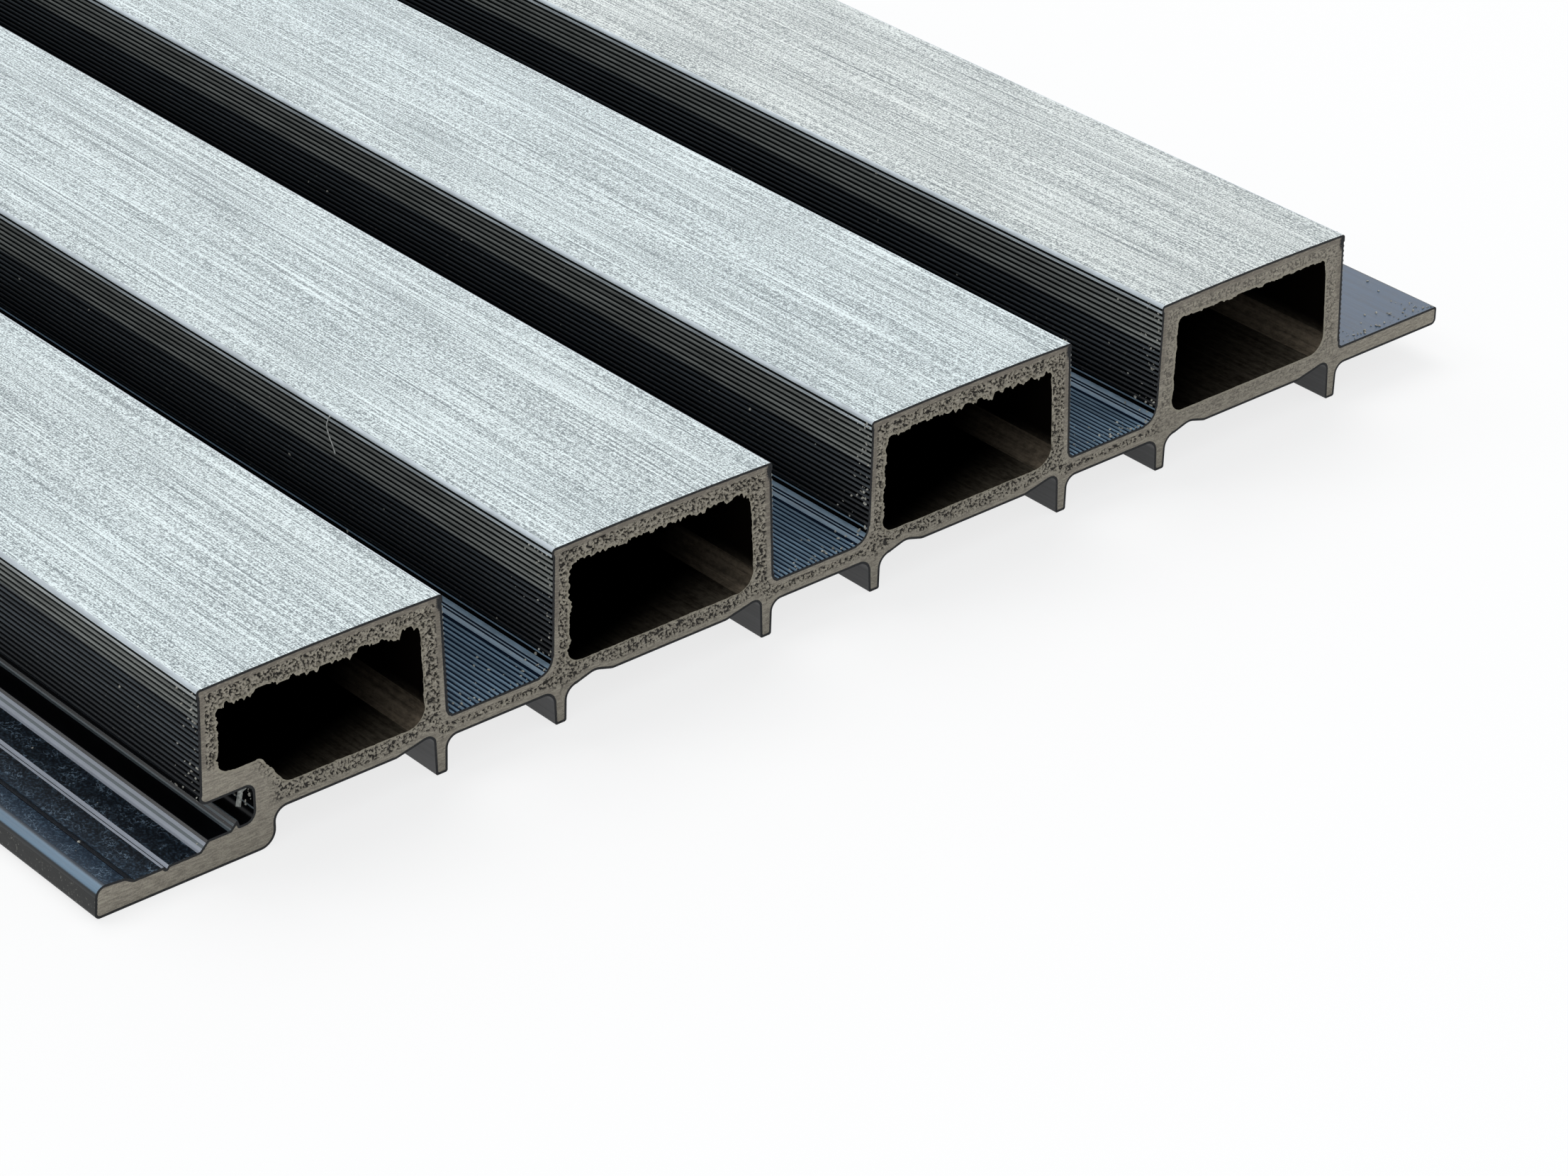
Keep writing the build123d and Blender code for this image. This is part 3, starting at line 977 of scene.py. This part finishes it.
def flangeSkin():  # navy, with short curled fibres showing in the cap
    board = materialBoard("flangeSkin")
    across = board.spot("X")
    curls = board.line((1.5, 1.2, 1.5), 0.035, 2.0)
    sparse = board.spread(board.cloud((0.55, 0.4, 0.55), 2.0), 0.46, 0.62)
    mottle = board.cloud((3.2, 2.4, 3.2), 3.0, 0.7)
    inwards = board.spread(across, flangeTip + 1.5, flangeTip + 9.0)
    ground = board.mix(inwards, flangeCap["outer"], flangeCap["inner"])
    faded = board.spread(across, flangeTip + 4.0, flangeTip + 12.0, 0.55, 0.30)
    colour = board.mix(board.spread(mottle, 0.45, 0.75) * faded, ground, flangeCap["mottle"])
    colour = board.mix(curls * sparse * 0.55, colour, flangeCap["curls"])
    bump = board.bump(0.2, 0.04, mottle + curls * 0.3)
    return board.finish(colour, 0.34 + (mottle - 0.5) * 0.2, bump, 0.3)


def underSkin():  # the back: plain cap with the die's lines
    board = materialBoard("underSkin")
    dieLines = board.cloud((2.2, 0.004, 2.2), 3.0, 0.6)
    cloudy = board.cloud((0.3, 0.05, 0.3), 2.0)
    mixed = board.spread(dieLines * 0.6 + cloudy * 0.4, 0.3, 0.7)
    colour = board.mix(mixed, paint(30, 31, 33), paint(58, 59, 60))
    return board.finish(colour, 0.42 + (cloudy - 0.5) * 0.2, board.bump(0.3, 0.06, dieLines))


core = {
    "pale": paint(169, 161, 146),
    "plain": paint(123, 116, 105),
    "crumb": paint(186, 179, 161),
    "rind": paint(106, 98, 88),
    "rim": paint(158, 151, 134),
    "pit": paint(42, 38, 33),
    "cap": paint(18, 20, 23),
}


def cellPattern(board, where):  # 1 in the gaps between crumbs; shared by the finish and the relief
    bend = board.add("ShaderNodeTexNoise", None,
                     {"Vector": where, "Scale": 0.8, "Detail": 3.0, "Roughness": 0.65, "Distortion": 0.8})
    crumb = board.add("ShaderNodeTexVoronoi", None, {"Vector": where, "Scale": 1.0}, "Distance")
    return board.spread((bend - 0.5) * 1.9 + (crumb - 0.45) * 1.0, 0.06, 0.30)


def acrossRib(across):  # 0 at one side of a rib's pitch, 0.5 on its middle and 1 at the other side
    return (across * (1 / section["ribPitch"]) + 0.5).maths("FRACT")


def sawnCore():  # the cut face: cells in the core, denser under the cap's thin dark edge
    board = materialBoard("sawnCore")
    across, height = board.spot("X"), board.spot("Z")
    inward, foam, rim = board.stored("inward"), board.stored("foam"), board.stored("rim")
    gaps = cellPattern(board, board.place((sawnEnd["cellsPerMm"], 0, sawnEnd["cellsPerMm"])))
    grain = board.cloud((5.0, 0, 5.0), 3.0, 0.6)
    drag = board.cloud((0.7, 0, 4.2), 3.0, 0.62)  # marks that the saw dragged across
    scratch = board.line((0.35, 0, 1.6), 0.03, 2.0)
    solid = board.mix(board.spread(drag * 0.6 + grain * 0.4, 0.36, 0.66), core["plain"], core["pale"])
    rind = board.spread(inward, 0.7, 1.3, 1.0, 0.0) * board.spread(height, slotRoof + 3, slotRoof + 6)
    solid = board.mix(rind * 0.7, solid, core["rind"])
    solid = board.mix(scratch * 0.35, solid, core["crumb"])
    crumbs = board.spread(board.cloud((2.9, 0, 2.9), 3.0, 0.7), 0.50, 0.66)
    solid = board.mix(crumbs * board.spread(foam, 0.2, 0.9) * 0.75, solid, core["crumb"])
    colour = board.mix(gaps * board.spread(foam, 0.05, 0.6), solid, core["pit"])
    # the cap is torn away where the saw left each rib's right corner
    aside = (acrossRib(across) - 0.5) * section["ribPitch"] - (halfTop - 0.25)
    down = (height - (ribTop - 1.1)) * 0.55
    apart = (aside * aside + down * down).maths("SQRT")
    torn = board.spread(apart + (grain - 0.5) * 0.9, 0.45, 0.80, 1.0, 0.0)
    colour = board.mix(torn, colour, core["cap"])
    edge = (drag - 0.5) * 0.2 + sawnEnd["capThickness"]
    colour = board.mix(board.spread(inward - edge, 0.0, 0.08), core["cap"], colour)
    colour = board.mix(board.spread(rim + (grain - 0.5) * 0.4, 0.12, 0.5, 0.65, 0.0), colour, core["rim"])
    relief = grain * 0.4 - gaps * 0.8 + crumbs * 0.3
    return board.finish(colour, 0.78 + (grain - 0.5) * 0.2, board.bump(0.5, 0.1, relief))


hollows = {  # dark and light of each part's skin, and how far in its light reaches
    "hollow": (paint(46, 40, 33), paint(100, 92, 80), 9.0),
    "streak": (paint(78, 70, 60), paint(142, 128, 110), 16.0),
}


def hollowSkin(name):  # inside the hollows: rough, brown, drawn lengthwise, with painted shade that darkens the walls and roof above the floor and turns black further in from the cut
    board = materialBoard(name + "Skin")
    low, high, reach = hollows[name]
    across, run, height = board.spot("X"), board.spot("Y"), board.spot("Z")
    drawn = board.cloud((1.6, 0.02, 1.6), 3.0, 0.6)
    mottle = board.cloud((1.6, 0.8, 1.6), 3.0, 0.7)
    skin = board.mix(board.spread(drawn * 0.5 + mottle * 0.5, 0.3, 0.7), low, high)
    # painted shade: the hollow darker above its floor
    colour = board.mix(board.spread(height, grooveFloor + 0.3, grooveFloor + 4.5), skin, paint(12, 9, 7))
    # painted shade: black further in from the cut; the last rib's hollow is painted lit further in
    fromEnd = (cadHigh.y - cadLow.y) / 2 / mm - run.maths("ABSOLUTE")
    further = 1 - board.spread(across, lastRib - 25, lastRib - 20) * 0.6
    shaded = board.spread(fromEnd * further * (10.0 / reach) - acrossRib(across) * 18.0, -15.0, -2.0)
    colour = board.mix(shaded, colour, paint(1, 1, 1))
    bump = board.bump(0.4, 0.2, mottle + drawn * 0.5)
    return board.finish(colour, 0.62 + (mottle - 0.5) * 0.2, bump, 0.0)


def dustSkin(name, low, high):
    board = materialBoard(name)
    shade = board.cloud((3.0, 3.0, 3.0), 2.0)
    return board.finish(board.mix(board.spread(shade, 0.3, 0.7), low, high), 0.7 + (shade - 0.5) * 0.2)


def reliefTree():  # sinks the gaps of the sawn face by the same pattern that colours them
    tree, board, given = newNodes("sawnRelief", Depth=0.0002, Inwards=1.0, Finish=None)
    at = board.add("GeometryNodeInputPosition")
    apart = board.add("ShaderNodeSeparateXYZ", None, {0: at})
    repeat = sawnEnd["cellsPerMm"] / mm
    flat = board.add("ShaderNodeCombineXYZ", None, {0: apart * repeat, 2: apart.sibling("Z") * repeat})
    foam = board.attribute("foam")
    push = cellPattern(board, flat) * foam * given("Depth") * given("Inwards")
    offset = board.add("ShaderNodeCombineXYZ", None, {1: push})
    shape = board.add("GeometryNodeSetPosition", None,
                      {"Geometry": given("Geometry"), "Offset": offset})
    slot = board.add("GeometryNodeInputMaterialIndex")
    sawn = board.add("FunctionNodeCompare", {"data_type": "INT", "operation": "EQUAL"}, {2: slot, 3: 0})
    endNodes(board, shape, given("Finish"), False, sawn)
    return tree


# camera at the photograph's place
view = {
    "place": (-0.34288, -1.83967, 0.30136),
    "azimuth": -40.669,
    "elevation": 29.912,
    "roll": 0.5,
    "lens": 110.17,
    "sensor": 36.0,
}


def direction(azimuth, elevation):
    azimuth, elevation = radians(azimuth), radians(elevation)
    return Vector((sin(azimuth) * cos(elevation), -cos(azimuth) * cos(elevation), sin(elevation)))


def makeCamera():
    camera = bpy.data.objects.new("camera", bpy.data.cameras.new("camera"))
    camera.data.lens, camera.data.sensor_width = view["lens"], view["sensor"]
    camera.data.clip_start, camera.data.clip_end = 0.02, 100
    back = direction(view["azimuth"], view["elevation"])
    right = direction(view["azimuth"] + 90, 0)
    tilt = Matrix.Rotation(radians(view["roll"]), 4, "Z")
    camera.matrix_world = Matrix((right, back.cross(right), back)).transposed().to_4x4() @ tilt
    camera.matrix_world.translation = view["place"]
    bpy.context.scene.collection.objects.link(camera)
    bpy.context.scene.camera = camera


# loose bits that the saw and handling left on the panel
litter = {
    "crumbsPerMm2": 2.3,  # beside the cut
    "flangeShare": 0.05,  # fewer lie on the flange and in the slot
    "strayPerMm2": 0.005,  # far from the cut
    "fade": 1.5,
    "reach": 120.0,
    "smallest": 0.06,
    "largest": 0.27,
    "seed": 4,
    # strands, as section x, run along from the near end and height, all in millimetres
    "hair": [(32.98, 44.4, 23.85), (32.94, 45.1, 22.4), (32.90, 44.7, 21.1), (32.86, 43.8, 19.8),
             (32.83, 43.4, 19.0)],
    "hairWidth": 0.17,
    "chip": [(-11.2, 0.5, 8.95), (-11.7, 0.7, 8.5), (-11.6, 1.0, 7.8), (-11.95, 0.8, 7.1),
             (-12.2, 0.6, 6.6)],
    "chipWidth": 0.16,
    "chipThickness": 0.7,
    "spacing": 0.25,
}


def crumbGround():  # the open upper faces near the cut, with how much lies on them
    bare = ("top", "edge", "ribbon", "tip", "tipRound", "under")
    steps = [0.25, 0.8, 1.6, 3.0, 6.0, 14.0, 40.0, litter["reach"]]
    points, faces, amount = [], [], []
    for index, (x, z, zone) in enumerate(outerLoop):
        if zone in bare:
            continue
        nextX, nextZ = outerLoop[(index + 1) % len(outerLoop)][:2]
        onFlange = x < slotInner and z < slotRoof
        near = litter["crumbsPerMm2"] * (litter["flangeShare"] if onFlange else 1)
        for step in steps:
            run = cadLow.y + step * mm
            points += [placed(x, run, z), placed(nextX, run, nextZ)]
            amount += [near * exp(-step / litter["fade"]) + litter["strayPerMm2"]] * 2
        start = len(points) - 2 * len(steps)
        for a in range(start, len(points) - 2, 2):
            faces.append((a, a + 1, a + 3, a + 2))
    piece = newPiece("saw_crumbs", points, [], faces)
    store(piece, "amount", amount)
    return piece


def crumbTree():  # small lumps scattered by amount, half sunk in what they lie on
    tree, board, given = newNodes("sawCrumbs", Smallest=0.00005, Largest=0.00014, Seed=1, Finish=None)
    seed = given("Seed")
    amount = board.attribute("amount")
    spots = board.add("GeometryNodeDistributePointsOnFaces", None,
                      {"Mesh": given("Geometry"), "Density": amount * 1e6, "Seed": seed})
    lump = board.add("GeometryNodeMeshIcoSphere", None, {"Radius": 1.0, "Subdivisions": 1})
    size = board.add("FunctionNodeRandomValue", {"data_type": "FLOAT"},
                     {2: given("Smallest"), 3: given("Largest"), "Seed": seed}, 1)
    shape = board.add("FunctionNodeRandomValue", {"data_type": "FLOAT_VECTOR"},
                      {0: (0.6, 0.6, 0.4), 1: (1.5, 1.2, 0.8), "Seed": 5})
    turn = board.add("FunctionNodeRandomValue", {"data_type": "FLOAT_VECTOR"},
                     {1: (6.28, 6.28, 6.28), "Seed": 8})
    scale = board.add("ShaderNodeVectorMath", {"operation": "SCALE"}, {0: shape, "Scale": size})
    lumps = board.add("GeometryNodeInstanceOnPoints", None,
                      {"Points": spots, "Instance": lump, "Rotation": turn, "Scale": scale})
    endNodes(board, lumps, given("Finish"), False)
    return tree


def strandTree():  # a thin round or flat strand along a curve
    tree, board, given = newNodes("strand", Width=0.0001, Thickness=0.0001, Spacing=0.0003, Finish=None)
    curve = board.add("GeometryNodeMeshToCurve", None, {"Mesh": given("Geometry")})
    curve = board.add("GeometryNodeCurveSplineType", {"spline_type": "CATMULL_ROM"}, {"Curve": curve})
    curve = board.add("GeometryNodeResampleCurve", {"mode": "LENGTH"},
                      {"Curve": curve, "Length": given("Spacing")})
    profile = board.add("GeometryNodeCurvePrimitiveCircle", {"mode": "RADIUS"},
                        {"Resolution": 6, "Radius": 0.5})
    oval = board.add("ShaderNodeCombineXYZ", None,
                     {0: given("Width"), 1: given("Thickness"), 2: 1.0})
    profile = board.add("GeometryNodeTransform", None, {"Geometry": profile, "Scale": oval})
    shape = board.add("GeometryNodeCurveToMesh", None,
                      {"Curve": curve, "Profile Curve": profile, "Fill Caps": True})
    endNodes(board, shape, given("Finish"))
    return tree


def strand(name, points, tree, width, thickness, finish):
    line = [placed(x, cadLow.y + run * mm, z) for x, run, z in points]
    piece = newPiece(name, line, [(index, index + 1) for index in range(len(line) - 1)], [])
    return runNodes(piece, tree, {"Width": width * mm, "Thickness": thickness * mm,
                                  "Spacing": litter["spacing"] * mm, "Finish": finish})


print("finishes and node trees ready")
makeCamera()

gap, beads, hollow = gapSkin(), beadSkin(), hollowSkin("hollow")
finishes = {name: plainSkin(name) for name in capShades}
finishes.update({
    "end": sawnCore(),
    "top": brushedTop(),
    "flange": flangeSkin(),
    "tipRound": tipRoundSkin(),
    "under": underSkin(),
    "streak": hollowSkin("streak"),
    "wallBand": beads,
    "floorBand": beads,
    "wallGap": gap,
    "floorGap": gap,
})
for zone in ("pocket", "web", "base", "right", "roof", "left"):
    finishes[zone] = hollow

near, far = cadLow.y + sawnEnd["thickness"] * mm, cadHigh.y - sawnEnd["thickness"] * mm
panelBody = cappedPrism("panel_body", [outerLoop] + chamberLoops, near, far, 10, finishes)
smoothMesh(panelBody, 28)
print("body drawn:", len(panelBody.data.polygons), "faces")

fineBeads = makeBeads(beads)
print("beads placed:", len(fineBeads.data.polygons), "faces")

relief = reliefTree()
cutFaces = []
for name, outward in (("front_cut_face", -1.0), ("back_cut_face", 1.0)):
    face = makeCutFace(name, outward, finishes)
    runNodes(face, relief, {"Depth": sawnEnd["pitDepth"] * mm, "Inwards": -outward,
                            "Finish": finishes["end"]})
    smoothMesh(face, 40)
    cutFaces.append(face)
    print(name, "sawn:", len(face.data.polygons), "faces")

crumbs = runNodes(crumbGround(), crumbTree(), {
    "Smallest": litter["smallest"] * mm, "Largest": litter["largest"] * mm, "Seed": litter["seed"],
    "Finish": dustSkin("crumbSkin", paint(124, 121, 112), paint(196, 194, 184))})
strands = strandTree()
hair = strand("stray_hair", litter["hair"], strands, litter["hairWidth"], litter["hairWidth"],
              dustSkin("hairSkin", paint(190, 190, 184), paint(226, 226, 222)))
chip = strand("slot_chip", litter["chip"], strands, litter["chipWidth"], litter["chipThickness"],
              dustSkin("chipSkin", paint(120, 122, 118), paint(172, 174, 168)))
print("litter laid:", len(crumbs.data.polygons), "faces")


# floor and light
stage = {
    "floorColour": (0.95, 0.95, 0.95, 1),
    "floorGlow": 0.78,
    "worldColour": (0.93, 0.97, 1.0, 1),
    "worldLevel": 0.60,
    # level, azimuth, elevation and size of each lamp: from behind, low behind and from the left
    "lamps": {
        "key": (1.25, 160.0, 58.0, 40.0),
        "sheen": (0.45, 139.0, 15.0, 40.0),
        "side": (0.35, 217.0, 38.0, 25.0),
    },
    "floorReach": 30,
}


def makeStage():
    far = stage["floorReach"]
    corners = [(-far, -far, 0), (far, -far, 0), (far, far, 0), (-far, far, 0)]
    floor = newPiece("floor", corners, [], [(0, 1, 2, 3)])
    floor.location.z = -0.0001
    board = materialBoard("paleFloor")
    path = board.add("ShaderNodeLightPath")
    seen = path + path.sibling("Is Glossy Ray") + path.sibling("Is Transmission Ray")
    share = seen.maths("MINIMUM", 1.0) * stage["floorGlow"]
    matt = board.add("ShaderNodeBsdfDiffuse", None, {"Color": stage["floorColour"]})
    plain = board.add("ShaderNodeEmission", None, {"Color": white, "Strength": 1.0})
    shown = board.add("ShaderNodeMixShader", None, {0: share, 1: matt, 2: plain})
    board.add("ShaderNodeOutputMaterial", None, {"Surface": shown})
    floor.data.materials.append(board.material)

    world = bpy.data.worlds.new("studio")
    world.use_nodes = True
    world.node_tree.nodes.clear()
    board = Board(world.node_tree)
    path = board.add("ShaderNodeLightPath")
    soft = board.add("ShaderNodeBackground", None,
                     {"Color": stage["worldColour"], "Strength": stage["worldLevel"]})
    clear = board.add("ShaderNodeBackground", None, {"Color": white, "Strength": 1.0})
    shown = board.add("ShaderNodeMixShader", None, {0: path, 1: soft, 2: clear})
    board.add("ShaderNodeOutputWorld", None, {"Surface": shown})
    bpy.context.scene.world = world

    for name, (level, azimuth, elevation, spread) in stage["lamps"].items():
        sun = bpy.data.lights.new(name, "SUN")
        sun.energy, sun.angle = level, radians(spread)
        lamp = bpy.data.objects.new(name, sun)
        lamp.rotation_euler = direction(azimuth, elevation).to_track_quat("Z", "Y").to_euler()
        bpy.context.scene.collection.objects.link(lamp)


makeStage()
bpy.context.scene.view_settings.view_transform = "Standard"

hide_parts("fluted_panel")
for piece in [panelBody, fineBeads, crumbs, hair, chip] + cutFaces:
    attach(piece, "root")
